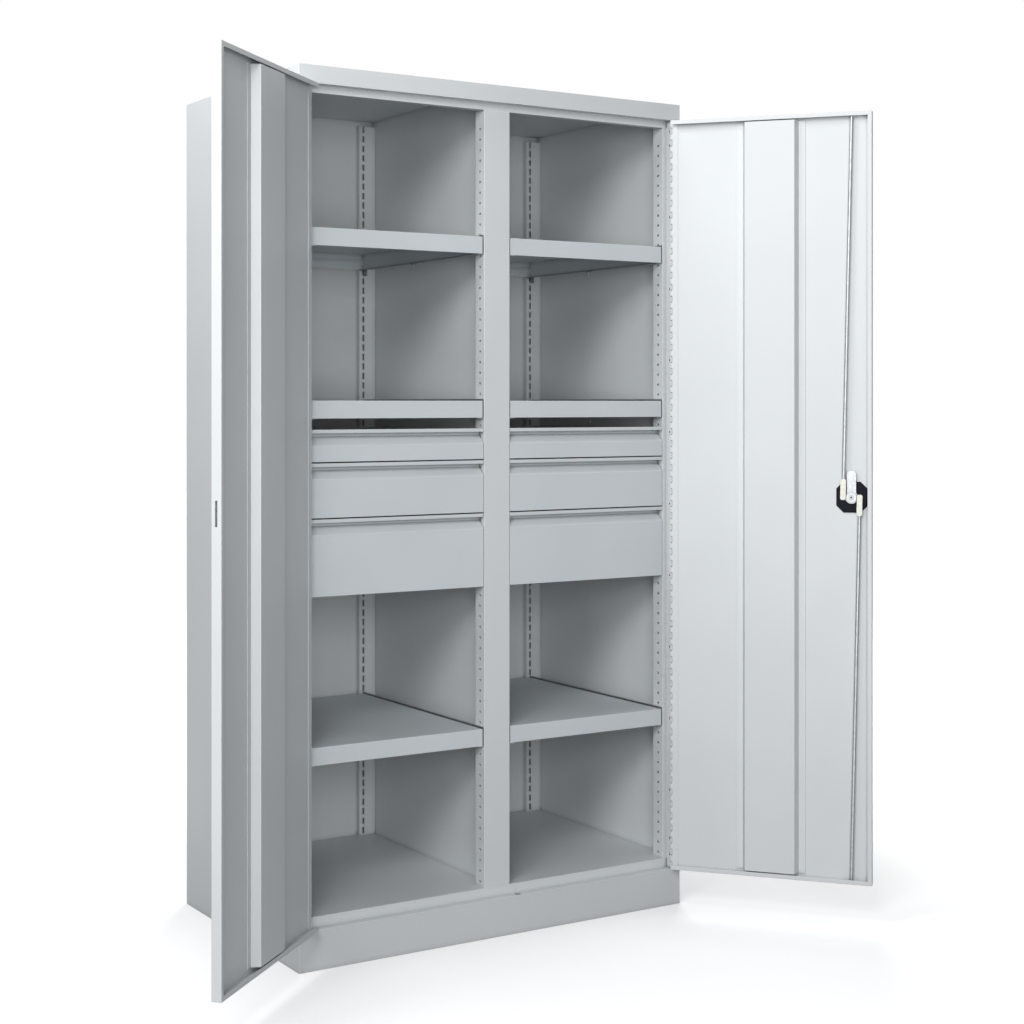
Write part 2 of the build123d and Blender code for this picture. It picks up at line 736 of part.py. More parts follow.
with BuildPart() as housing:
    with BuildSketch(Plane.XZ.offset(-SKIN_INSIDE)) as plate:
        with Locations(LOCK_POINT):
            Rectangle(HOUSING_SIZE, HOUSING_SIZE)
        chamfer(plate.vertices(), HOUSING_CORNER)
    extrude(amount=-HOUSING_DEPTH)
    chamfer(housing.faces().sort_by(Axis.Y)[-1].edges(), HOUSING_BEVEL)
    pierce(Plane.XZ.offset(-SKIN_INSIDE), LOCK_POINT, SPINDLE_BORE, -HOUSING_DEPTH)
publish(open_door(housing.part, "right"), "lock_housing")

with BuildPart() as rosette:
    with BuildSketch(Plane.XZ.offset(-FRONT)) as plate:
        with Locations(LOCK_POINT):
            Rectangle(ROSETTE_SIZE, ROSETTE_SIZE)
        chamfer(plate.vertices(), ROSETTE_CORNER)
    extrude(amount=ROSETTE_DEPTH)
    pierce(Plane.XZ.offset(-FRONT + ROSETTE_DEPTH), LOCK_POINT, DISH_RADIUS, -DISH_DEPTH)
    pierce(Plane.XZ.offset(-FRONT), LOCK_POINT, SPINDLE_BORE, ROSETTE_DEPTH)
publish(open_door(rosette.part, "right"), "lock_rosette")

with BuildPart() as grip:
    with BuildSketch(Plane.XZ.offset(-GRIP_BACK)) as bar:
        with Locations(LOCK_POINT):
            Rectangle(GRIP_WIDTH, GRIP_LENGTH)
        chamfer(bar.vertices(), GRIP_CORNER)
    extrude(amount=GRIP_HEIGHT)
    chamfer(grip.faces().sort_by(Axis.Y)[0].edges(), GRIP_EDGE)
    with BuildSketch(Plane.XZ.offset(-NECK_BACK)):
        with Locations(LOCK_POINT):
            RegularPolygon(NECK_RADIUS, 16)
    extrude(amount=NECK_HEIGHT)
    with BuildSketch(Plane.XZ.offset(-NECK_BACK)):
        with Locations(LOCK_POINT):
            Circle(SPINDLE_RADIUS)
    extrude(amount=NECK_BACK - CAM_BACK)
    with BuildSketch(Plane.XZ.offset(-CAM_BACK)):
        with Locations(LOCK_POINT):
            Rectangle(SQUARE, SQUARE)
    extrude(amount=-CAM_SHEET - BOSS_HEIGHT)
    pierce(Plane.XZ.offset(-GRIP_FACE), LOCK_POINT, KEY_BORE, -KEY_DEPTH)
publish(open_door(grip.part, "right"), "lock_grip")

with BuildPart() as key_cylinder:
    with BuildSketch(Plane.XZ.offset(-GRIP_FACE + KEY_PROUD)):
        with Locations(LOCK_POINT):
            Circle(KEY_RADIUS)
    extrude(amount=-KEY_DEPTH)
    with BuildSketch(Plane.XZ.offset(-GRIP_FACE + KEY_PROUD)):
        with Locations(LOCK_POINT):
            Rectangle(KEYWAY[0], KEYWAY[1])
    extrude(amount=-KEYWAY[2], mode=Mode.SUBTRACT)
publish(open_door(key_cylinder.part, "right"), "lock_cylinder")

with BuildPart() as cam:
    with BuildSketch(Plane.XZ.offset(-CAM_BACK)) as outline:
        with Locations((LOCK_X, LOCK_HEIGHT + TONGUE_REACH / 2)):
            Rectangle(TONGUE_WIDTH, TONGUE_REACH)
        tip = outline.vertices().group_by(Axis.Z)[-1]
        chamfer(tip, TONGUE_CORNER)
        with Locations(LOCK_POINT):
            RegularPolygon(HUB_RADIUS, 12, major_radius=False)
            Rectangle(2 * CAM_RADIUS + ARM_WIDTH, ARM_WIDTH)
        ends = outline.vertices().group_by(Axis.X)
        chamfer(ends[0] + ends[-1], ARM_CORNER)
    extrude(amount=-CAM_SHEET)
    with BuildSketch(Plane.XZ.offset(-CAM_FACE)):
        with Locations(LOCK_POINT):
            RegularPolygon(BOSS_RADIUS, 12, major_radius=False)
    extrude(amount=-BOSS_HEIGHT)
    with BuildSketch(Plane.XZ.offset(-CAM_BACK)):
        with Locations(LOCK_POINT):
            Rectangle(SQUARE + 2 * SQUARE_CLEARANCE, SQUARE + 2 * SQUARE_CLEARANCE)
    extrude(amount=-CAM_SHEET - BOSS_HEIGHT, mode=Mode.SUBTRACT)
    with BuildSketch(Plane.XZ.offset(ROD_PLANE + FORK_DEPTH / 2)):
        for arm in (-CAM_RADIUS, CAM_RADIUS):
            with Locations((LOCK_X + arm, LOCK_HEIGHT)):
                Circle(CRANK_RADIUS)
    extrude(amount=-FORK_DEPTH - CRANK_PROUD)
publish(open_door(cam.part, "right"), "lock_cam")

with BuildPart() as screw:
    with BuildSketch(Plane.XZ.offset(-CAM_FACE - BOSS_HEIGHT)):
        with Locations(LOCK_POINT):
            RegularPolygon(SCREW_RADIUS, 12)
            RegularPolygon(SCREW_RADIUS / 2, 6, mode=Mode.SUBTRACT)
    extrude(amount=-SCREW_HEAD)
publish(open_door(screw.part, "right"), "lock_screw")


def rod_length(edge):
    """Length of a rod from its crank pin past a door edge, while unlocked."""
    return abs(edge - LOCK_HEIGHT) + ROD_REACH


def rod(length):
    """Makes a rod that stands on a crank pin at the origin, with its stub and point."""
    foot = (Align.CENTER, Align.CENTER, Align.MIN)
    start = FORK_LENGTH - FORK_WIDTH / 2
    with BuildPart() as bar:
        with Locations((0, 0, start - ROD_STUB)):
            Box(ROD_STUB_WIDTH, ROD_STUB_WIDTH, ROD_STUB, align=foot)
        with Locations((0, 0, start)):
            Cylinder(ROD_RADIUS, length - ROD_POINT - start, align=foot)
        with Locations((0, 0, length - ROD_POINT)):
            Cone(ROD_RADIUS, ROD_RADIUS / 2, ROD_POINT, align=foot)
    return bar.part


def fork():
    """Makes a rod's fork, which straddles the cam round the crank pin at the origin."""
    half = FORK_WIDTH / 2
    head = FORK_LENGTH - half
    with BuildPart() as clevis:
        with BuildSketch(Plane.XZ) as outline:
            with Locations((0, (head - half) / 2)):
                Rectangle(FORK_WIDTH, FORK_LENGTH)
            chamfer(outline.vertices(), FORK_CORNER)
        extrude(amount=FORK_DEPTH / 2, both=True)
        block(
            -half,
            half,
            CAM_BACK + ROD_PLANE - FORK_CLEARANCE,
            CAM_FACE + ROD_PLANE + FORK_CLEARANCE,
            -half,
            FORK_SLOT,
            Mode.SUBTRACT,
        )
        pierce(
            Plane.XZ.offset(FORK_DEPTH / 2), (0, 0), CRANK_RADIUS + SPINDLE_CLEARANCE,
            -FORK_DEPTH,
        )
        with Locations((0, 0, head - ROD_STUB / 2)):
            Box(
                ROD_STUB_WIDTH + 2 * SQUARE_CLEARANCE,
                ROD_STUB_WIDTH + 2 * SQUARE_CLEARANCE,
                ROD_STUB,
                mode=Mode.SUBTRACT,
            )
    return clevis.part


for name, edge, turn in (("upper", DOOR_TOP, 0), ("lower", DOOR_BOTTOM, 180)):
    length = rod_length(edge)
    lean = math.degrees(math.asin(ROD_LEAN / length))
    crank = Location((LOCK_X + CAM_RADIUS, -ROD_PLANE, LOCK_HEIGHT), (0, -lean, 0))
    for piece, shape in (("rod", rod(length)), ("fork", fork())):
        placed = shape.moved(crank).rotate(LOCK_AXIS, turn)
        publish(open_door(placed, "right"), f"{name}_{piece}")
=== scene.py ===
"""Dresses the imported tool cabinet: coated sheet steel, piano hinges, lock and a white studio."""

import json
import logging
import math
from collections.abc import Iterable
from dataclasses import dataclass
from enum import Enum
from typing import ClassVar

import bpy
from mathutils import Matrix, Vector


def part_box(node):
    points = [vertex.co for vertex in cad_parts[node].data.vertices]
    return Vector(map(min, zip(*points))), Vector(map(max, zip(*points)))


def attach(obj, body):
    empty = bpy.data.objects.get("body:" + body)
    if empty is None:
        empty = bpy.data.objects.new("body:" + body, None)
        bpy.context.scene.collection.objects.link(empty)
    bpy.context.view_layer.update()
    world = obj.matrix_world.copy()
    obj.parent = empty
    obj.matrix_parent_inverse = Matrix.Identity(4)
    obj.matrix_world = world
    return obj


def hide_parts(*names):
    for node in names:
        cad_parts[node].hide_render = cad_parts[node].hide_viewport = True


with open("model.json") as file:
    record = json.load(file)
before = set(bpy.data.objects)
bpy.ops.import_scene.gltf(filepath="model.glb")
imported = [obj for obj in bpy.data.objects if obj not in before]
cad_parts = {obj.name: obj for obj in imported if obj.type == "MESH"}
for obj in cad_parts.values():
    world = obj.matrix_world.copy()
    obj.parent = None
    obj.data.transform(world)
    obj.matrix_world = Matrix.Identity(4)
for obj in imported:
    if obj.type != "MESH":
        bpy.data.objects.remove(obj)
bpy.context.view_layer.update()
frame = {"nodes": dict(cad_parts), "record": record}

MM = 0.001
LOG = logging.getLogger("tool_cabinet")

Triple = tuple[float, float, float]
Point = tuple[float, float]
Colour = tuple[float, float, float, float]
Piece = bpy.types.Object
Material = bpy.types.Material
Tree = bpy.types.NodeTree
Node = bpy.types.Node
Socket = bpy.types.NodeSocket


# ---------------- small helpers
def metres(lengths: Iterable[float]) -> tuple[float, ...]:
    """Turns lengths in millimetres into metres."""
    return tuple(length * MM for length in lengths)


def srgb(code: str) -> Colour:
    """Turns an sRGB hex colour into the linear colour that Blender's sockets take.

    Args:
        code: The colour, such as "C8CCCF".

    Returns:
        Linear red, green and blue, with an alpha of 1.
    """
    parts = [int(code[index : index + 2], 16) / 255 for index in (0, 2, 4)]
    red, green, blue = (
        part / 12.92 if part <= 0.04045 else ((part + 0.055) / 1.055) ** 2.4 for part in parts
    )
    return red, green, blue, 1.0


def add_node(tree: Tree, kind: str, inputs: dict | None = None, **settings: object) -> Node:
    """Adds a node to a tree with its settings, and fills or links its inputs.

    Args:
        tree: The tree that gets the node.
        kind: The node's type name.
        inputs: A value, a socket or a list of sockets for each input, by name or number.
        settings: The node's own properties.

    Returns:
        The new node.
    """
    node = tree.nodes.new(kind)
    for name, value in settings.items():
        setattr(node, name, value)
    for name, value in (inputs or {}).items():
        for one in value if isinstance(value, list) else [value]:
            if isinstance(one, Socket):
                tree.links.new(one, node.inputs[name])
            else:
                node.inputs[name].default_value = one
    return node


def fresh_tree(owner: Material | bpy.types.World) -> Tree:
    """Gives a material or a world an empty node tree.

    Args:
        owner: The material or world.

    Returns:
        Its tree.
    """
    owner.use_nodes = True
    owner.node_tree.nodes.clear()
    return owner.node_tree


def linked(name: str, data: bpy.types.ID) -> Piece:
    """Makes an object and links it to the scene.

    Args:
        name: The object's name.
        data: Its mesh, lamp or camera.

    Returns:
        The object.
    """
    item = bpy.data.objects.new(name, data)
    bpy.context.scene.collection.objects.link(item)
    return item


def mesh_object(
    name: str,
    points: list[Triple],
    faces: list[tuple[int, ...]],
    edges: Iterable[tuple[int, int]] = (),
) -> Piece:
    """Makes an object from points in millimetres, and faces or edges by their point numbers.

    Args:
        name: The object's name.
        points: The points, in millimetres, in the cabinet's own frame.
        faces: The faces, each turned outwards.
        edges: The edges that belong to no face.

    Returns:
        The new object, linked to the scene.
    """
    mesh = bpy.data.meshes.new(name)
    mesh.from_pydata([metres(point) for point in points], list(edges), faces)
    mesh.validate()
    return linked(name, mesh)


def hand_over(piece: Piece, body: str, node: str | None = None) -> None:
    """Puts a finished piece on its body, and reports it.

    Args:
        piece: The piece.
        body: The body that it moves with.
        node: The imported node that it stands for, if there is one.
    """
    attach(piece, body)
    if node:
        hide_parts(node)
    LOG.info("%s: %d faces", piece.name, len(piece.data.polygons))


def joined(pieces: list[Piece], name: str) -> Piece:
    """Joins pieces into one.

    Args:
        pieces: The pieces, all at the origin.
        name: The joined piece's name.

    Returns:
        The joined piece.
    """
    first = pieces[0]
    with bpy.context.temp_override(
        active_object=first, object=first, selected_editable_objects=pieces
    ):
        bpy.ops.object.join()
    first.name = name
    first.data.name = name
    return first


# ---------------- finishes
@dataclass(frozen=True)
class Finish:
    """A finish, named for the real material, which makes its Blender material once."""

    name: str
    dark: str  # the two tones that the colour drifts between, in sRGB hex
    light: str
    roughness: float
    gloss_change: Point = (-0.05, 0.08)  # how far the roughness falls and rises over the surface

    SPREAD: ClassVar[Point] = (0.3, 0.7)  # the middle of a noise, where most of it lies
    EDGE_TURN: ClassVar[Point] = (0.98, 0.78)  # cosines where the painted edge colour begins and is full
    RAYS: ClassVar[int] = 4  # for the edges and the shade

    def material(self) -> Material:
        """Gives the finish's material, made the first time it is asked for.

        Returns:
            The material, with its nodes.
        """
        found = bpy.data.materials.get(self.name)
        if found:
            return found
        made = bpy.data.materials.new(self.name)
        tree = fresh_tree(made)
        add_node(tree, "ShaderNodeOutputMaterial", {"Surface": self.shader(tree).outputs[0]})
        return made

    def shader(self, tree: Tree) -> Node:
        """Adds the finish's shader to a material; each kind of finish has its own.

        Args:
            tree: The material's tree.

        Returns:
            The shader.
        """
        raise NotImplementedError

    def noise(
        self, tree: Tree, size: float, stretch: Triple = (1, 1, 1), detail: float = 2
    ) -> Socket:
        """Adds a noise on object coordinates.

        Args:
            tree: The material's tree.
            size: The size of one lump, in millimetres.
            stretch: How much shorter the lumps are along each axis.
            detail: The noise's octaves.

        Returns:
            The noise's value.
        """
        place = add_node(tree, "ShaderNodeTexCoord").outputs["Object"]
        spread = add_node(tree, "ShaderNodeMapping", {"Vector": place, "Scale": stretch})
        noise = add_node(
            tree,
            "ShaderNodeTexNoise",
            {"Vector": spread.outputs[0], "Scale": 1 / (size * MM), "Detail": detail},
        )
        return noise.outputs["Fac"]

    def blended(
        self, tree: Tree, value: Socket, span: Point, low: Colour | Socket, high: Colour | Socket
    ) -> Socket:
        """Goes from one colour to another as a value crosses a span.

        Args:
            tree: The material's tree.
            value: The value.
            span: The values at the first and the second colour.
            low: The first colour.
            high: The second colour.

        Returns:
            The colour.
        """
        share = add_node(
            tree, "ShaderNodeMapRange", {"Value": value, "From Min": span[0], "From Max": span[1]}
        )
        colour = add_node(
            tree,
            "ShaderNodeMix",
            {"Factor": share.outputs[0], "A": low, "B": high},
            data_type="RGBA",
        )
        return colour.outputs["Result"]

    def drifting(self, tree: Tree, size: float) -> Socket:
        """Lets the colour drift between the finish's two tones.

        Args:
            tree: The material's tree.
            size: How far apart the tones lie, in millimetres.

        Returns:
            The colour.
        """
        drift = self.noise(tree, size)
        return self.blended(tree, drift, self.SPREAD, srgb(self.dark), srgb(self.light))

    def uneven_gloss(self, tree: Tree, value: Socket, span: Point = (0.0, 1.0)) -> Socket:
        """Lets the finish's roughness change over the surface.

        Args:
            tree: The material's tree.
            value: The value that it follows.
            span: The values at the least and the greatest roughness.

        Returns:
            The roughness.
        """
        fall, rise = self.gloss_change
        gloss = add_node(
            tree,
            "ShaderNodeMapRange",
            {
                "Value": value,
                "From Min": span[0],
                "From Max": span[1],
                "To Min": self.roughness + fall,
                "To Max": self.roughness + rise,
            },
        )
        return gloss.outputs[0]

    def painted_gap_shade(self, tree: Tree, tone: Socket, shade: str, reach: float, span: Point) -> Socket:
        """Paints shade into a colour where little open air reaches it, as in gaps and behind slots.

        Args:
            tree: The material's tree.
            tone: The colour in the open.
            shade: The painted shade's colour in the narrowest places, in sRGB hex.
            reach: How near a neighbour has to be, in millimetres.
            span: The share of open air at full shade, and at none.

        Returns:
            The colour.
        """
        air = add_node(
            tree, "ShaderNodeAmbientOcclusion", {"Distance": reach * MM}, samples=self.RAYS
        )
        return self.blended(tree, air.outputs["AO"], span, srgb(shade), tone)

    def edged(self, tree: Tree, tone: Socket, edge: str, radius: float) -> tuple[Socket, Socket]:
        """Rounds the edges a little for the light, and paints a colour along them: a painted
        highlight, or a painted darker rim.

        Args:
            tree: The material's tree.
            tone: The colour away from the edges.
            edge: The colour along the edges, in sRGB hex.
            radius: How far an edge reaches, in millimetres.

        Returns:
            The colour, and the rounded normal.
        """
        rounded = add_node(tree, "ShaderNodeBevel", {"Radius": radius * MM}, samples=self.RAYS)
        flat = add_node(tree, "ShaderNodeNewGeometry")
        turn = add_node(
            tree,
            "ShaderNodeVectorMath",
            {0: rounded.outputs[0], 1: flat.outputs["Normal"]},
            operation="DOT_PRODUCT",
        )
        colour = self.blended(tree, turn.outputs["Value"], self.EDGE_TURN, tone, srgb(edge))
        return colour, rounded.outputs[0]


@dataclass(frozen=True)
class PowderCoat(Finish):
    """Polyester powder coat, sprayed and baked: satin and finely pebbled, with a painted highlight
    along its edges and painted shade in its gaps.
    """

    dark: str = "C8CCCF"
    light: str = "CCD0D2"
    # painted highlight along the edges
    edge: str = "F6F7F7"
    edge_radius: float = 1.6
    shade: str = "2A2C2D"  # painted shade in gaps, where no light gets in
    gap: float = 26.0
    gap_span: Point = (0.08, 0.42)  # shares of open air at full shade and at none
    drift: float = 260.0  # slow change of the coat's thickness
    roughness: float = 0.42
    gloss_change: Point = (-0.04, 0.05)
    pebble: float = 2.4  # 0.6 mm in life, drawn as coarse as it needs to show
    relief: float = 0.12
    relief_depth: float = 0.1
    ior: float = 1.5

    def shader(self, tree: Tree) -> Node:
        """Adds the coat: a slow drift of tone, a painted edge highlight, painted shade in gaps and
        a pebbled surface.

        Args:
            tree: The material's tree.

        Returns:
            The shader.
        """
        tone = self.drifting(tree, self.drift)
        bright, rounded = self.edged(tree, tone, self.edge, self.edge_radius)
        # painted shade in gaps, from how much open air reaches the surface
        colour = self.painted_gap_shade(tree, bright, self.shade, self.gap, self.gap_span)
        pebbles = add_node(
            tree,
            "ShaderNodeBump",
            {
                "Height": self.noise(tree, self.pebble),
                "Strength": self.relief,
                "Distance": self.relief_depth * MM,
                "Normal": rounded,
            },
        )
        return add_node(
            tree,
            "ShaderNodeBsdfPrincipled",
            {
                "Base Color": colour,
                "Roughness": self.uneven_gloss(tree, self.noise(tree, self.drift / 2)),
                "IOR": self.ior,
                "Normal": pebbles.outputs[0],
            },
        )


@dataclass(frozen=True)
class PlatedMetal(Finish):
    """A plated or cast metal: blotched by its crystals or casting skin, finely lined by drawing,
    with painted shade in its corners.
    """

    dark: str = "93979A"
    light: str = "A9ABAD"
    shade: str = "3A3D40"  # painted shade in corners and crevices, where little light gets in
    corner: float = 6.0
    corner_span: Point = (0.3, 0.8)  # shares of open air at full shade and at none
    crystal: float = 9.0  # size of a crystal or a casting ripple
    roughness: float = 0.48
    gloss_change: Point = (-0.06, 0.08)
    lines: Triple = (1.0, 1.0, 0.04)
    line_width: float = 0.8  # 0.05 mm in life, drawn as coarse as it needs to show
    relief: float = 0.15
    relief_depth: float = 0.05

    def shader(self, tree: Tree) -> Node:
        """Adds the metal: blotched colour with painted shade in corners, uneven gloss and shallow
        lines.

        Args:
            tree: The material's tree.

        Returns:
            The shader.
        """
        tone = self.drifting(tree, self.crystal)
        colour = self.painted_gap_shade(tree, tone, self.shade, self.corner, self.corner_span)
        lines = self.noise(tree, self.line_width, self.lines)
        relief = add_node(
            tree,
            "ShaderNodeBump",
            {"Height": lines, "Strength": self.relief, "Distance": self.relief_depth * MM},
        )
        return add_node(
            tree,
            "ShaderNodeBsdfPrincipled",
            {
                "Base Color": colour,
                "Metallic": 1.0,
                "Roughness": self.uneven_gloss(tree, lines, self.SPREAD),
                "Normal": relief.outputs[0],
            },
        )


@dataclass(frozen=True)
class MouldedNylon(Finish):
    """Injection-moulded nylon: a spark-eroded mould leaves a fine matt grain with a soft sheen; a
    painted highlight runs along its edges.
    """

    dark: str = "02030B"
    light: str = "060918"
    # painted highlight along the edges
    edge: str = "343A50"
    edge_radius: float = 1.8
    cloud: float = 18.0  # size of a cloud in the colour
    roughness: float = 0.52
    grain: float = 1.2  # 0.15 mm in life, drawn as coarse as it needs to show
    grain_detail: float = 4.0
    relief: float = 0.25
    relief_depth: float = 0.08
    ior: float = 1.53
    specular: float = 0.1

    def shader(self, tree: Tree) -> Node:
        """Adds the plastic: a slight cloudiness, a painted edge highlight and the mould's grain.

        Args:
            tree: The material's tree.

        Returns:
            The shader.
        """
        grain = self.noise(tree, self.grain, detail=self.grain_detail)
        tone = self.drifting(tree, self.cloud)
        colour, rounded = self.edged(tree, tone, self.edge, self.edge_radius)
        relief = add_node(
            tree,
            "ShaderNodeBump",
            {
                "Height": grain,
                "Strength": self.relief,
                "Distance": self.relief_depth * MM,
                "Normal": rounded,
            },
        )
        return add_node(
            tree,
            "ShaderNodeBsdfPrincipled",
            {
                "Base Color": colour,
                "Roughness": self.uneven_gloss(tree, grain, self.SPREAD),
                "IOR": self.ior,
                "Specular IOR Level": self.specular,
                "Normal": relief.outputs[0],
            },
        )


# Light grey polyester powder coat on the body and doors: pale, even, satin.
CABINET_COAT = PowderCoat("powder_coat_light_grey")
# The same coat on the slotted uprights, with no painted highlight on its many cut edges: they are
# painted a little darker instead, as painted shade at the slots.
SLOTTED_COAT = PowderCoat("powder_coat_light_grey_slotted", edge="B4B8BA")
# The same powder on shelves, drawers and fronts, drawn a little darker and cooler.
FITTING_COAT = PowderCoat("powder_coat_fittings", dark="C2C8CC", light="C7CDD1")
# Bright zinc plate with blue passivate on pressed steel: silvery, faintly drawn.
ZINC_PLATE = PlatedMetal("zinc_plate_blue_passivated")
# Zinc alloy die casting, tumbled: pale silver with a soft satin skin and no drawing lines.
DIE_CAST_ZINC = PlatedMetal(
    "zinc_alloy_die_cast", dark="999993", light="A9A9A2", roughness=0.5, crystal=5, lines=(1, 1, 1)
)
# Zinc plate on blind rivets, dulled, and painted dark as painted shade, so that such small heads
# show as dots.
RIVET_ZINC = PlatedMetal(
    "zinc_plate_dulled_rivet", dark="202223", light="2E3032", roughness=0.7, crystal=3
)
# Bright chrome plate on the key barrel: a clear mirror with hardly any grain.
CHROME_PLATE = PlatedMetal(
    "chrome_plate_bright", dark="D3D5D8", light="E0E2E4", roughness=0.12, crystal=20, relief=0.03
)
# Black glass-filled nylon of the lock: near black with a slight blue tint, and a painted bluish
# highlight along its edges.
BLACK_NYLON = MouldedNylon("nylon_black_moulded")
# Natural nylon of the glides: milky off-white with a waxy sheen, and a painted highlight along its
# edges.
NATURAL_NYLON = MouldedNylon(
    "nylon_natural", dark="DEDACF", light="E9E6DC", edge="F2F0EA", specular=0.5
)

FINISHES: dict[str, Finish] = {
    "cabinet_paint": CABINET_COAT,
    "fitting_paint": FITTING_COAT,
    "zinc_plate": ZINC_PLATE,
    "die_cast_zinc": DIE_CAST_ZINC,
    "black_plastic": BLACK_NYLON,
    "nylon": NATURAL_NYLON,
    "chrome_plate": CHROME_PLATE,
}


# ---------------- geometry trees
HOLE_SIDES = 16
KNUCKLE_SIDES = 14
BORE_SIDES = 10
WIRE_SIDES = 8
RIVET_SIDES = (12, 8)
BORE_LENGTH = 100.0  # longer than any knuckle, so that it comes out at both ends
WELD = 0.001  # corners nearer than this are one
ROW: dict[str, type] = {"First": tuple, "Step": tuple, "Count": int}  # the inputs of a row


class PatternTree:
    """A Geometry Nodes tree with named inputs, which ends in Realize Instances and Set Material."""

    KINDS = {
        float: "NodeSocketFloat",
        int: "NodeSocketInt",
        tuple: "NodeSocketVector",
        Material: "NodeSocketMaterial",
    }

    def __init__(self, name: str, inputs: dict[str, type]) -> None:
        """Makes the empty tree.

        Args:
            name: The tree's name.
            inputs: The kind of each named input; "Piece" and "Coat" are always there.
        """
        self.tree = bpy.data.node_groups.new(name, "GeometryNodeTree")
        self.sockets: dict[str, str] = {}
        face = self.tree.interface
        face.new_socket(name="Piece", in_out="INPUT", socket_type="NodeSocketGeometry")
        face.new_socket(name="Piece", in_out="OUTPUT", socket_type="NodeSocketGeometry")
        for label, kind in {**inputs, "Coat": Material}.items():
            socket = face.new_socket(name=label, in_out="INPUT", socket_type=self.KINDS[kind])
            self.sockets[label] = socket.identifier
        self.entry = self.add("NodeGroupInput")

    def add(self, kind: str, inputs: dict | None = None, **settings: object) -> Node:
        """Adds a node to this tree, as add_node does."""
        return add_node(self.tree, kind, inputs, **settings)

    def of(self, label: str) -> Socket:
        """Gives the socket that carries a named input."""
        return self.entry.outputs[label]

    def row(self, shape: Socket) -> Socket:
        """Repeats a shape along the row given by the inputs First, Step and Count.

        Args:
            shape: The shape's geometry, at the origin.

        Returns:
            The row, as real geometry.
        """
        line = self.add(
            "GeometryNodeMeshLine",
            {
                "Count": self.of("Count"),
                "Start Location": self.of("First"),
                "Offset": self.of("Step"),
            },
            mode="OFFSET",
        )
        copies = self.add(
            "GeometryNodeInstanceOnPoints", {"Points": line.outputs[0], "Instance": shape}
        )
        return self.add("GeometryNodeRealizeInstances", {"Geometry": copies.outputs[0]}).outputs[0]

    def close(self, geometry: Socket) -> None:
        """Ends the tree.

        Args:
            geometry: The finished geometry, before its finish.
        """
        real = self.add("GeometryNodeRealizeInstances", {"Geometry": geometry})
        coated = self.add(
            "GeometryNodeSetMaterial", {"Geometry": real.outputs[0], "Material": self.of("Coat")}
        )
        self.add("NodeGroupOutput", {"Piece": coated.outputs[0]})

    def make(self, name: str, base: Piece | None, values: dict) -> Piece:
        """Runs the tree once and keeps its result as a plain mesh.

        Args:
            name: The new piece's name.
            base: The object that the tree works on, which is used up, or None.
            values: The value of each named input.

        Returns:
            The piece, at the origin, with no modifier.
        """
        base = base or mesh_object(name + "_seed", [], [])
        modifier = base.modifiers.new("pattern", "NODES")
        modifier.node_group = self.tree
        for label, value in values.items():
            modifier[self.sockets[label]] = value
        bpy.context.view_layer.update()
        graph = bpy.context.evaluated_depsgraph_get()
        mesh = bpy.data.meshes.new_from_object(base.evaluated_get(graph))
        mesh.name = name
        bpy.data.objects.remove(base)
        return linked(name, mesh)


class Opening(Enum):
    """The shape of one perforation."""

    ROUND = "round"
    SLOT = "slot"


def perforation_tree(opening: Opening) -> PatternTree:
    """Makes the tree that punches a row of openings through a sheet.

    Args:
        opening: Round holes, sized by (radius, 0, length through), or slots, sized by a box.

    Returns:
        The tree; its inputs are First, Step, Count and Size.
    """
    made = PatternTree(f"punch_{opening.value}", {**ROW, "Size": tuple})
    if opening is Opening.ROUND:
        size = made.add("ShaderNodeSeparateXYZ", {0: made.of("Size")})
        bar = made.add(
            "GeometryNodeMeshCylinder",
            {"Vertices": HOLE_SIDES, "Radius": size.outputs["X"], "Depth": size.outputs["Z"]},
        )
        turned = made.add(
            "GeometryNodeTransform",
            {"Geometry": bar.outputs["Mesh"], "Rotation": (0, math.pi / 2, 0)},
        )
        punch = turned.outputs[0]
    else:
        punch = made.add("GeometryNodeMeshCube", {"Size": made.of("Size")}).outputs["Mesh"]
    merged = made.add(
        "GeometryNodeMergeByDistance", {"Geometry": made.of("Piece"), "Distance": WELD * MM}
    )
    cut = made.add(
        "GeometryNodeMeshBoolean",
        {"Mesh 1": merged.outputs[0], "Mesh 2": made.row(punch)},
        operation="DIFFERENCE",
        solver="EXACT",
    )
    made.close(cut.outputs[0])
    return made


def knuckle_tree() -> PatternTree:
    """Makes the tree of one hinge leaf: its plate, and rolled knuckles on tabs.

    Returns:
        The tree; its inputs are those of a row, and the sizes of knuckle, plate and tab.
    """
    knuckle_sizes = dict.fromkeys(("Radius", "Bore", "Length"), float)
    flat_sizes = dict.fromkeys(("Plate", "Plate Middle", "Tab", "Tab Middle"), tuple)
    made = PatternTree("rolled_knuckles", {**ROW, **knuckle_sizes, **flat_sizes})
    roll = made.add(
        "GeometryNodeMeshCylinder",
        {"Vertices": KNUCKLE_SIDES, "Radius": made.of("Radius"), "Depth": made.of("Length")},
    )
    bore = made.add(
        "GeometryNodeMeshCylinder",
        {"Vertices": BORE_SIDES, "Radius": made.of("Bore"), "Depth": BORE_LENGTH * MM},
    )
    bored = made.add(
        "GeometryNodeMeshBoolean",
        {"Mesh 1": roll.outputs["Mesh"], "Mesh 2": bore.outputs["Mesh"]},
        operation="DIFFERENCE",
        solver="EXACT",
    )
    flats = {}
    for label in ("Tab", "Plate"):
        sheet = made.add("GeometryNodeMeshCube", {"Size": made.of(label)})
        placed = made.add(
            "GeometryNodeTransform",
            {"Geometry": sheet.outputs["Mesh"], "Translation": made.of(f"{label} Middle")},
        )
        flats[label] = placed.outputs[0]
    knuckle = made.add("GeometryNodeJoinGeometry", {0: [bored.outputs[0], flats["Tab"]]})
    leaf = made.add("GeometryNodeJoinGeometry", {0: [made.row(knuckle.outputs[0]), flats["Plate"]]})
    made.close(leaf.outputs[0])
    return made


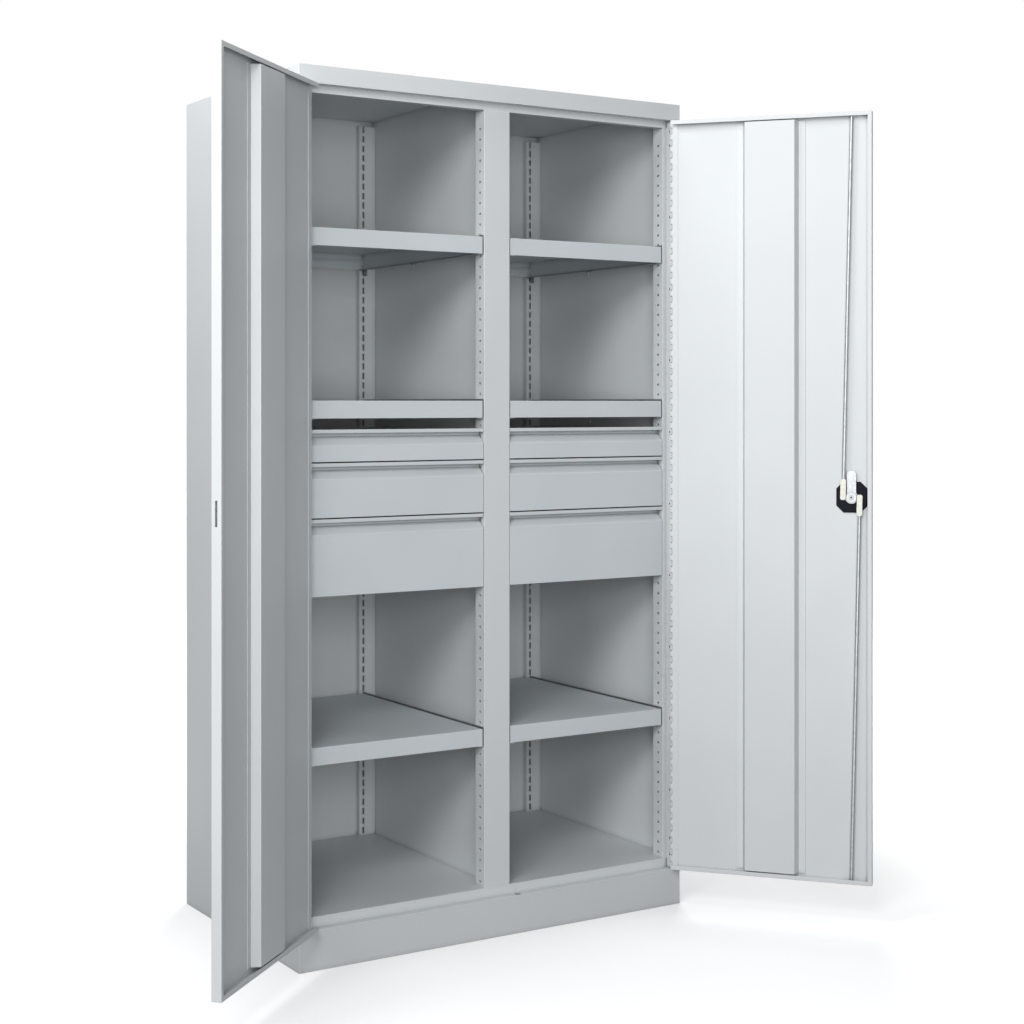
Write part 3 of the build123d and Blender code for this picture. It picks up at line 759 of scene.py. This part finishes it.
def rivet_tree() -> PatternTree:
    """Makes the tree of a row of domed rivet heads that face across the cabinet.

    Returns:
        The tree; its inputs are First, Step, Count and Head, the head's (height, radius, radius).
    """
    made = PatternTree("domed_rivets", {**ROW, "Head": tuple})
    segments, rings = RIVET_SIDES
    ball = made.add(
        "GeometryNodeMeshUVSphere", {"Segments": segments, "Rings": rings, "Radius": 1.0}
    )
    head = made.add(
        "GeometryNodeTransform", {"Geometry": ball.outputs["Mesh"], "Scale": made.of("Head")}
    )
    made.close(made.row(head.outputs[0]))
    return made


def wire_tree() -> PatternTree:
    """Makes the tree that turns a bent line into wire.

    Returns:
        The tree; its input is Radius.
    """
    made = PatternTree("bent_wire", {"Radius": float})
    line = made.add("GeometryNodeMeshToCurve", {"Mesh": made.of("Piece")})
    ring = made.add(
        "GeometryNodeCurvePrimitiveCircle",
        {"Resolution": WIRE_SIDES, "Radius": made.of("Radius")},
    )
    wire = made.add(
        "GeometryNodeCurveToMesh",
        {"Curve": line.outputs[0], "Profile Curve": ring.outputs[0], "Fill Caps": True},
    )
    made.close(wire.outputs[0])
    return made


# ---------------- sheet metal
class Side(Enum):
    """The cabinet's two sides, seen from the front."""

    LEFT = -1
    RIGHT = 1

    @property
    def word(self) -> str:
        """The side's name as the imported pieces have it."""
        return self.name.lower()


def folded(points: list[Point], sheet: float) -> list[Point]:
    """Gives the outline of a folded sheet.

    Args:
        points: One face of the sheet, from end to end, in plan.
        sheet: The sheet's thickness, to the left of the line, or to its right if negative.

    Returns:
        The line's points, then the other face's points in the same order.
    """
    sides = []
    for (x0, y0), (x1, y1) in zip(points, points[1:]):
        run = math.hypot(x1 - x0, y1 - y0)
        sides.append(((y0 - y1) / run, (x1 - x0) / run))
    other = []
    for index, (x, y) in enumerate(points):
        before = sides[max(index - 1, 0)]
        after = sides[min(index, len(sides) - 1)]
        scale = sheet / (1 + before[0] * after[0] + before[1] * after[1])
        other.append((x + (before[0] + after[0]) * scale, y + (before[1] + after[1]) * scale))
    return [*points, *other]


def folded_post(name: str, folds: list[tuple[list[Point], float, float, float]]) -> Piece:
    """Makes upright folded sheets as one object.

    Args:
        name: The object's name.
        folds: For each sheet its line in plan, its thickness, its foot and its top, in millimetres.

    Returns:
        The object, each sheet closed and turned outwards.
    """
    points: list[Triple] = []
    faces: list[tuple[int, ...]] = []
    for line, sheet, low, high in folds:
        start = len(points)
        count = len(line)
        outline = folded(line, sheet)
        points += [(x, y, low) for x, y in outline] + [(x, y, high) for x, y in outline]
        lift = 2 * count
        walls = []
        for a in range(count - 1):
            b, c, d = a + 1, a + count, a + count + 1
            walls += [
                (b, a, a + lift, b + lift),
                (c, d, d + lift, c + lift),
                (a, b, d, c),
                (b + lift, a + lift, c + lift, d + lift),
            ]
        walls += [
            (0, count, count + lift, lift),
            (2 * count - 1, count - 1, count - 1 + lift, 2 * count - 1 + lift),
        ]
        if sheet > 0:
            walls = [tuple(reversed(face)) for face in walls]
        faces += [tuple(start + corner for corner in face) for face in walls]
    return mesh_object(name, points, faces)


@dataclass
class Perforated:
    """The perforated posts and the slotted uprights, on a grid of 25 mm."""

    sheet: float = 1.2
    inside: float = 523.8  # inner face of the side panels
    jamb: float = 501.0  # where the hinges' frame leaves lie on the outer posts
    lip: float = 489.0  # the outer posts' perforated returns
    depth: float = 40.0  # of all posts, behind their faces
    front: float = -22.0  # foremost face of the outer posts
    plinth: float = 90.0  # top of the plinth, foot of the front strips
    floor: float = 112.5  # top of the floor, foot of all else
    header: float = 1943.0  # underside of the header lip
    fascia: float = 1960.0  # underside of the fascia
    centre: float = 35.0  # half the centre post's width
    back: float = 626.8  # inner face of the back panel
    upright_face: float = 611.8
    upright_width: float = 47.0
    upright_top: float = 1983.8
    rail_middle: float = 0.75  # slots stand over the middle of the rails' sheet
    pitch: float = 25.0
    first: float = 125.0
    count: int = 72
    hole: float = 3.2  # radius
    hole_depth: float = 20.0  # behind the posts' faces
    hole_stroke: int = 4  # how many sheets deep a round punch reaches
    slot: Point = (5.6, 16.0)  # 3 mm wide in life, drawn as wide as it needs to show
    slot_stroke: int = 6
    extra_slots: int = 3  # the uprights stand higher than the posts

    def punch(
        self,
        tree: PatternTree,
        blank: Piece,
        across: Point,
        size: Triple,
        name: str,
        coat: Finish = CABINET_COAT,
        more: int = 0,
    ) -> Piece:
        """Punches one row of openings, from the floor to the header.

        Args:
            tree: The tree for the opening's shape.
            blank: The sheet without that row.
            across: Where the row stands in plan, in millimetres.
            size: The opening's size, as the tree takes it, in millimetres.
            name: The punched sheet's name.
            coat: The sheet's finish.
            more: How many openings there are above the header.

        Returns:
            The punched sheet.
        """
        values = {
            "First": metres((*across, self.first)),
            "Step": metres((0.0, 0.0, self.pitch)),
            "Count": self.count + more,
            "Size": metres(size),
            "Coat": coat.material(),
        }
        return tree.make(name, blank, values)

    def front_post(self, tree: PatternTree, side: Side) -> None:
        """Builds an outer post: a plain front strip and the perforated return behind it.

        Args:
            tree: The tree that punches round holes.
            side: The post's side.
        """
        way = side.value
        strip = [
            (way * self.jamb, self.sheet),
            (way * self.jamb, self.front),
            (way * self.inside, self.front),
        ]
        inner = [
            (way * self.inside, self.depth),
            (way * self.lip, self.depth),
            (way * self.lip, 0.0),
            (way * self.jamb, 0.0),
        ]
        blank = folded_post(
            f"front_post_{side.word}_blank",
            [
                (strip, way * self.sheet, self.plinth, self.fascia),
                (inner, way * self.sheet, self.floor, self.header),
            ],
        )
        across = (way * (self.lip + self.sheet / 2), self.hole_depth)
        size = (self.hole, 0.0, self.hole_stroke * self.sheet)
        piece = self.punch(tree, blank, across, size, f"front_post_{side.word}_punched")
        hand_over(piece, "carcass", f"front_post_{side.word}")

    def centre_post(self, tree: PatternTree) -> None:
        """Builds the centre post, whose two sides are punched right across.

        Args:
            tree: The tree that punches round holes.
        """
        seam = self.sheet / 2
        line = [
            (-seam, self.depth),
            (-self.centre, self.depth),
            (-self.centre, 0.0),
            (self.centre, 0.0),
            (self.centre, self.depth),
            (seam, self.depth),
        ]
        blank = folded_post("centre_post_blank", [(line, self.sheet, self.floor, self.header)])
        size = (self.hole, 0.0, 2 * self.centre + self.hole_stroke * self.sheet)
        piece = self.punch(tree, blank, (0.0, self.hole_depth), size, "centre_post_punched")
        hand_over(piece, "carcass", "centre_post")

    def rear_uprights(self, tree: PatternTree) -> None:
        """Builds the four slotted uprights in front of the back panel.

        Args:
            tree: The tree that punches slots.
        """
        folds = []
        rows = []
        for way in (-1, 1):
            for wall, inward, seat in (
                (self.inside, -1, self.lip - self.rail_middle),
                (self.sheet / 2, 1, self.centre + self.rail_middle),
            ):
                edge = wall + inward * self.upright_width
                line = [
                    (way * edge, self.back),
                    (way * edge, self.upright_face),
                    (way * wall, self.upright_face),
                ]
                folds.append((line, -way * inward * self.sheet, self.floor, self.upright_top))
                rows.append(way * seat)
        piece = folded_post("rear_uprights_blank", folds)
        size = (self.slot[0], self.slot_stroke * self.sheet, self.slot[1])
        for seat in rows:
            across = (seat, self.upright_face + self.sheet / 2)
            name = "rear_uprights_punched"
            piece = self.punch(tree, piece, across, size, name, SLOTTED_COAT, self.extra_slots)
        piece.name = "rear_uprights_slotted"
        hand_over(piece, "carcass", "rear_uprights")

    def build(self) -> None:
        """Builds every perforated piece."""
        round_holes = perforation_tree(Opening.ROUND)
        for side in Side:
            self.front_post(round_holes, side)
        self.centre_post(round_holes)
        self.rear_uprights(perforation_tree(Opening.SLOT))


@dataclass
class PianoHinges:
    """The two piano hinges, each a leaf on the post and one on the door, with knuckles in turn."""

    pin: Point = (498.0, -22.8)
    low: float = 94.0
    high: float = 1956.0
    radius: float = 3.0
    bore: float = 1.58
    knuckle: float = 13.4
    pitch: float = 30.0  # of one leaf's knuckles; the other leaf's stand between them
    gap: float = 3.4  # from the pin to a leaf's flat plate
    width: float = 18.0  # from the pin to a leaf's far edge
    sheet: float = 1.0
    door_plate_short: float = 2.4  # both ends together
    jamb: float = 501.0
    skin: float = -20.8  # inner face of the door's skin
    openings: Point = (138.5, 129.7)  # degrees, left and right
    rivet: Triple = (1.0, 3.2, 3.2)
    rivet_behind: float = 7.5  # from the pin, towards the back
    rivet_rows: tuple[tuple[float, float, int], ...] = (  # height, step and count
        (1933.0, 0.0, 1),
        (1898.0, -179.2, 10),
        (164.6, -40.1, 2),
    )

    def swing(self, side: Side) -> Matrix:
        """Gives the turn that opens a door as it is stored.

        Args:
            side: The door's side.

        Returns:
            The turn about that door's pin.
        """
        angle = math.radians(self.openings[0] if side is Side.LEFT else self.openings[1])
        pin = Vector((side.value * self.pin[0], self.pin[1], 0)) * MM
        turn = Matrix.Rotation(side.value * angle, 4, "Z")
        return Matrix.Translation(pin) @ turn @ Matrix.Translation(-pin)

    def leaf(self, tree: PatternTree, side: Side, on_door: bool) -> None:
        """Builds one leaf as the closed door has it, and opens it with its door.

        Args:
            tree: The knuckles' tree.
            side: The hinge's side.
            on_door: Whether the leaf is the door's, and not the post's.
        """
        way = side.value
        height = self.high - self.low
        count = int(height // (self.pitch / 2))
        margin = (height - count * self.pitch / 2) / 2
        start = self.low + margin + self.pitch / 4 + (self.pitch / 2 if on_door else 0)
        number = (count + (0 if on_door else 1)) // 2
        x, y = way * self.pin[0], self.pin[1]
        flat = self.width - self.gap
        middle = (self.low + self.high) / 2
        if on_door:
            face = self.skin + self.sheet / 2
            plate = (flat, self.sheet, height - self.door_plate_short)
            plate_middle = (x - way * (self.gap + flat / 2), face, middle)
            tab = (self.gap, self.sheet, self.knuckle)
            tab_middle = (-way * self.gap / 2, face - y, 0.0)
        else:
            face = way * (self.jamb - self.sheet / 2)
            plate = (self.sheet, flat, height)
            plate_middle = (face, y + self.gap + flat / 2, middle)
            tab = (self.sheet, self.gap, self.knuckle)
            tab_middle = (face - x, self.gap / 2, 0.0)
        values = {
            "First": metres((x, y, start)),
            "Step": metres((0.0, 0.0, self.pitch)),
            "Count": number,
            "Radius": self.radius * MM,
            "Bore": self.bore * MM,
            "Length": self.knuckle * MM,
            "Plate": metres(plate),
            "Plate Middle": metres(plate_middle),
            "Tab": metres(tab),
            "Tab Middle": metres(tab_middle),
            "Coat": CABINET_COAT.material(),
        }
        node = f"hinge_{'door' if on_door else 'frame'}_leaf_{side.word}"
        piece = tree.make(f"{node}_rolled", None, values)
        if on_door:
            piece.data.transform(self.swing(side))
        body = f"door_{side.word}" if on_door else "carcass"
        hand_over(piece, body, node)

    def rivets(self, tree: PatternTree) -> None:
        """Builds the rivets that hold the leaves to the posts.

        Args:
            tree: The rivets' tree.
        """
        rows = []
        for side in Side:
            for height, step, count in self.rivet_rows:
                face = side.value * (self.jamb - self.sheet)
                values = {
                    "First": metres((face, self.pin[1] + self.rivet_behind, height)),
                    "Step": metres((0.0, 0.0, step)),
                    "Count": count,
                    "Head": metres(self.rivet),
                    "Coat": RIVET_ZINC.material(),
                }
                rows.append(tree.make("rivet_row", None, values))
        piece = joined(rows, "hinge_rivets_domed")
        hand_over(piece, "carcass", "hinge_rivets")

    def build(self) -> None:
        """Builds both hinges and their rivets."""
        tree = knuckle_tree()
        for side in Side:
            for on_door in (False, True):
                self.leaf(tree, side, on_door)
        self.rivets(rivet_tree())


@dataclass
class SlottedDrawers:
    """The deeper drawers' boxes, whose grooved sides have rows of slits for dividers."""

    grooves: tuple[tuple[str, tuple[float, ...]], ...] = (
        ("middle", (40.0,)),
        ("lower", (40.0, 114.0)),
    )
    first: float = 74.0  # behind the box's front
    pitch: float = 30.0
    slit: Point = (4.0, 30.0)
    stroke: float = 20.0  # how far the punch reaches past the box, both sides together
    count: int = 15

    def box(self, tree: PatternTree, side: Side, level: str, grooves: tuple[float, ...]) -> None:
        """Cuts the slits of one drawer's box.

        Args:
            tree: The tree that punches slots.
            side: The drawer's side of the cabinet.
            level: The drawer's place, from the top.
            grooves: How far each groove's middle is below the box's top.
        """
        node = f"drawer_{side.word}_{level}_box"
        low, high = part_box(node)
        piece = linked(node + "_copy", frame["nodes"][node].data.copy())
        for drop in grooves:
            values = {
                "First": ((low.x + high.x) / 2, low.y + self.first * MM, high.z - drop * MM),
                "Step": metres((0.0, self.pitch, 0.0)),
                "Count": self.count,
                "Size": (high.x - low.x + self.stroke * MM, *metres(self.slit)),
                "Coat": FITTING_COAT.material(),
            }
            piece = tree.make(node + "_cut", piece, values)
        piece.name = node + "_slotted"
        hand_over(piece, f"drawer_{side.word}_{level}", node)

    def build(self) -> None:
        """Cuts every grooved box."""
        tree = perforation_tree(Opening.SLOT)
        for side in Side:
            for level, grooves in self.grooves:
                self.box(tree, side, level, grooves)


@dataclass
class DoorStiffeners:
    """The hat-shaped stiffeners on the doors' skins, which end just above the lower lips."""

    longer: float = 14.0  # at the lower end, so that the gaps above and below are alike

    def build(self) -> None:
        """Builds both stiffeners."""
        for side in Side:
            node = f"door_{side.word}_stiffener"
            low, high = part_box(node)
            piece = linked(node + "_long", frame["nodes"][node].data.copy())
            for point in piece.data.vertices:
                if point.co.z < (low.z + high.z) / 2:
                    point.co.z -= self.longer * MM
            piece.data.materials.clear()
            piece.data.materials.append(CABINET_COAT.material())
            hand_over(piece, f"door_{side.word}", node)


@dataclass
class ShelfClips:
    """The small wire clips under the shelf rails, each a sprung wire with a thicker tongue."""

    places: tuple[Triple, ...] = (  # across, back, and the top of the shelf over it
        (-45.0, 326.0, 1645.0),
        (478.0, 312.0, 1645.0),
        (478.0, 303.0, 1259.0),
    )
    under_top: float = 41.5  # from a shelf's top to the underside of the rail's ledge
    spring: tuple[Triple, ...] = ((0, 12, 1), (0, 7, -3), (0, -18, -1), (0, -26, 1))
    spring_radius: float = 1.0
    tongue: tuple[Triple, ...] = ((0, 0, 1), (0, 0, -9), (-1, 0, -16))
    tongue_radius: float = 1.8

    def wire(self, tree: PatternTree, line: list[Triple], radius: float) -> Piece:
        """Bends one wire.

        Args:
            tree: The wire's tree.
            line: The wire's corners, in millimetres.
            radius: The wire's radius, in millimetres.

        Returns:
            The wire.
        """
        base = mesh_object("clip_line", line, [], zip(range(len(line)), range(1, len(line))))
        values = {"Radius": radius * MM, "Coat": ZINC_PLATE.material()}
        return tree.make("clip_wire", base, values)

    def build(self) -> None:
        """Builds every clip as one piece of the carcass."""
        tree = wire_tree()
        bends = ((self.spring, self.spring_radius), (self.tongue, self.tongue_radius))
        wires = []
        for x, y, top in self.places:
            z = top - self.under_top
            for bend, radius in bends:
                line = [(x + across, y + back, z + up) for across, back, up in bend]
                wires.append(self.wire(tree, line, radius))
        hand_over(joined(wires, "shelf_clips"), "carcass")


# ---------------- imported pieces
class PackedPieces:
    """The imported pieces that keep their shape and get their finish."""

    def dress(self) -> None:
        """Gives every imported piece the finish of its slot."""
        slots = {part["node"]: part["material_slot"] for part in frame["record"]["subparts"]}
        for name, piece in frame["nodes"].items():
            coat = FINISHES[slots[name]].material()
            if not piece.material_slots:
                piece.data.materials.append(coat)
            for place in piece.material_slots:
                place.material = coat
        LOG.info("finishes on %d packed pieces", len(frame["nodes"]))


# ---------------- studio
@dataclass
class Studio:
    """A white floor that keeps the shadow, with a painted shadow close beside the cabinet, soft
    lamps from the left, and the camera.
    """

    floor_size: float = 40.0  # metres, as all of the studio's lengths
    floor_grey: str = "DCDDDE"  # where it is looked at
    floor_dark: str = "5E5F60"  # for the light that it throws back, so that it stays soft
    floor_white: float = 0.48  # lift under the cabinet, up to 1 away from it
    floor_reach: Point = (1.0, 2.0)
    shadow_reach: float = 0.35  # how far the painted shadow beside the cabinet reaches
    shadow_depth: float = 0.85
    shadow_rays: int = 8
    ambient: float = 0.11
    camera_place: Triple = (-2.221, -3.579, 1.254)
    camera_turn: float = -31.92
    lens: float = 62.71
    sensor: float = 36.0
    shift: Point = (0.0117, -0.1066)
    sight: float = 200.0  # how far the camera sees
    lamps: tuple[tuple[str, Triple, Triple, float, float], ...] = (  # place, aim, size, watts
        ("window_light", (-3.0, -3.2, 3.4), (0.3, 0.0, 1.3), 1.5, 98.0),
        ("side_light", (-4.6, -2.8, 2.2), (0.0, -0.1, 1.1), 1.4, 66.0),
        ("top_light", (-1.6, -0.1, 3.2), (-0.5, 0.3, 1.5), 0.9, 34.0),
        ("low_fill", (-1.9, -4.1, 1.4), (0.0, 0.0, 1.1), 1.5, 80.0),
        ("rear_light", (3.5, 4.5, 3.2), (0.0, 0.0, 1.0), 2.5, 210.0),
    )

    def seen(self, tree: Tree) -> Socket:
        """Gives 1 where the camera, a mirror or glass looks, and 0 for other light.

        Args:
            tree: The tree that uses it.

        Returns:
            The value.
        """
        path = add_node(tree, "ShaderNodeLightPath")
        seen = path.outputs["Is Camera Ray"]
        for kind in ("Is Glossy Ray", "Is Transmission Ray"):
            either = add_node(
                tree, "ShaderNodeMath", {0: seen, 1: path.outputs[kind]}, operation="MAXIMUM"
            )
            seen = either.outputs[0]
        return seen

    def paper(self) -> Material:
        """Makes the floor's paper: matt, and lifted to white where it is looked at, except in the
        cabinet's shadow and a painted shadow close beside it.

        Returns:
            The material.
        """
        material = bpy.data.materials.new("studio_paper_white")
        tree = fresh_tree(material)
        seen = self.seen(tree)
        tone = add_node(
            tree,
            "ShaderNodeMix",
            {"Factor": seen, "A": srgb(self.floor_dark), "B": srgb(self.floor_grey)},
            data_type="RGBA",
        )
        matt = add_node(tree, "ShaderNodeBsdfDiffuse", {"Color": tone.outputs["Result"]})
        place = add_node(tree, "ShaderNodeTexCoord").outputs["Object"]
        away = add_node(tree, "ShaderNodeVectorMath", {0: place}, operation="LENGTH")
        white = add_node(
            tree,
            "ShaderNodeMapRange",
            {
                "Value": away.outputs["Value"],
                "From Min": self.floor_reach[0],
                "From Max": self.floor_reach[1],
                "To Min": self.floor_white,
            },
            interpolation_type="SMOOTHSTEP",
        )
        # painted shadow: the lift falls where the cabinet is near
        near = add_node(
            tree,
            "ShaderNodeAmbientOcclusion",
            {"Distance": self.shadow_reach},
            samples=self.shadow_rays,
        )
        least = 1 - self.shadow_depth
        shadow = add_node(
            tree, "ShaderNodeMapRange", {"Value": near.outputs["AO"], "To Min": least}
        )
        lift = seen
        for share in (white, shadow):
            product = add_node(
                tree, "ShaderNodeMath", {0: lift, 1: share.outputs[0]}, operation="MULTIPLY"
            )
            lift = product.outputs[0]
        glow = add_node(tree, "ShaderNodeEmission", {"Strength": lift})
        both = add_node(tree, "ShaderNodeAddShader", {0: matt.outputs[0], 1: glow.outputs[0]})
        add_node(tree, "ShaderNodeOutputMaterial", {"Surface": both.outputs[0]})
        return material

    def floor(self) -> None:
        """Lays the floor."""
        half = self.floor_size / 2 / MM
        corners = [(-half, -half, 0), (half, -half, 0), (half, half, 0), (-half, half, 0)]
        piece = mesh_object("studio_floor", corners, [(0, 1, 2, 3)])
        piece.data.materials.append(self.paper())

    def world(self) -> None:
        """Sets the surroundings: white where they are looked at, and a plain even light."""
        world = bpy.data.worlds.new("studio_white")
        bpy.context.scene.world = world
        tree = fresh_tree(world)
        level = add_node(
            tree, "ShaderNodeMapRange", {"Value": self.seen(tree), "To Min": self.ambient}
        )
        sky = add_node(
            tree, "ShaderNodeBackground", {"Color": srgb("FFFFFF"), "Strength": level.outputs[0]}
        )
        add_node(tree, "ShaderNodeOutputWorld", {"Surface": sky.outputs[0]})

    def light(self) -> None:
        """Hangs the soft lamps."""
        for name, place, aim, size, power in self.lamps:
            lamp = bpy.data.lights.new(name, "AREA")
            lamp.shape = "SQUARE"
            lamp.size = size
            lamp.energy = power
            stand = linked(name, lamp)
            stand.location = place
            towards = Vector(aim) - Vector(place)
            stand.rotation_euler = towards.to_track_quat("-Z", "Y").to_euler()

    def camera(self) -> None:
        """Sets up the camera: level, so that uprights stay upright, and shifted to frame it all."""
        eye = bpy.data.cameras.new("studio_camera")
        eye.lens = self.lens
        eye.sensor_fit = "HORIZONTAL"
        eye.sensor_width = self.sensor
        eye.shift_x, eye.shift_y = self.shift
        eye.clip_end = self.sight
        stand = linked("studio_camera", eye)
        stand.location = self.camera_place
        stand.rotation_euler = (math.pi / 2, 0.0, math.radians(self.camera_turn))
        bpy.context.scene.camera = stand

    def build(self) -> None:
        """Builds the whole studio."""
        bpy.context.scene.view_settings.view_transform = "Standard"
        self.floor()
        self.world()
        self.light()
        self.camera()
        LOG.info("studio ready")


def main() -> None:
    """Builds the dressed cabinet and its studio, piece by piece."""
    logging.basicConfig(level=logging.INFO, format="%(name)s: %(message)s")
    PackedPieces().dress()
    Perforated().build()
    PianoHinges().build()
    SlottedDrawers().build()
    DoorStiffeners().build()
    ShelfClips().build()
    Studio().build()


if __name__ == "__main__":
    main()
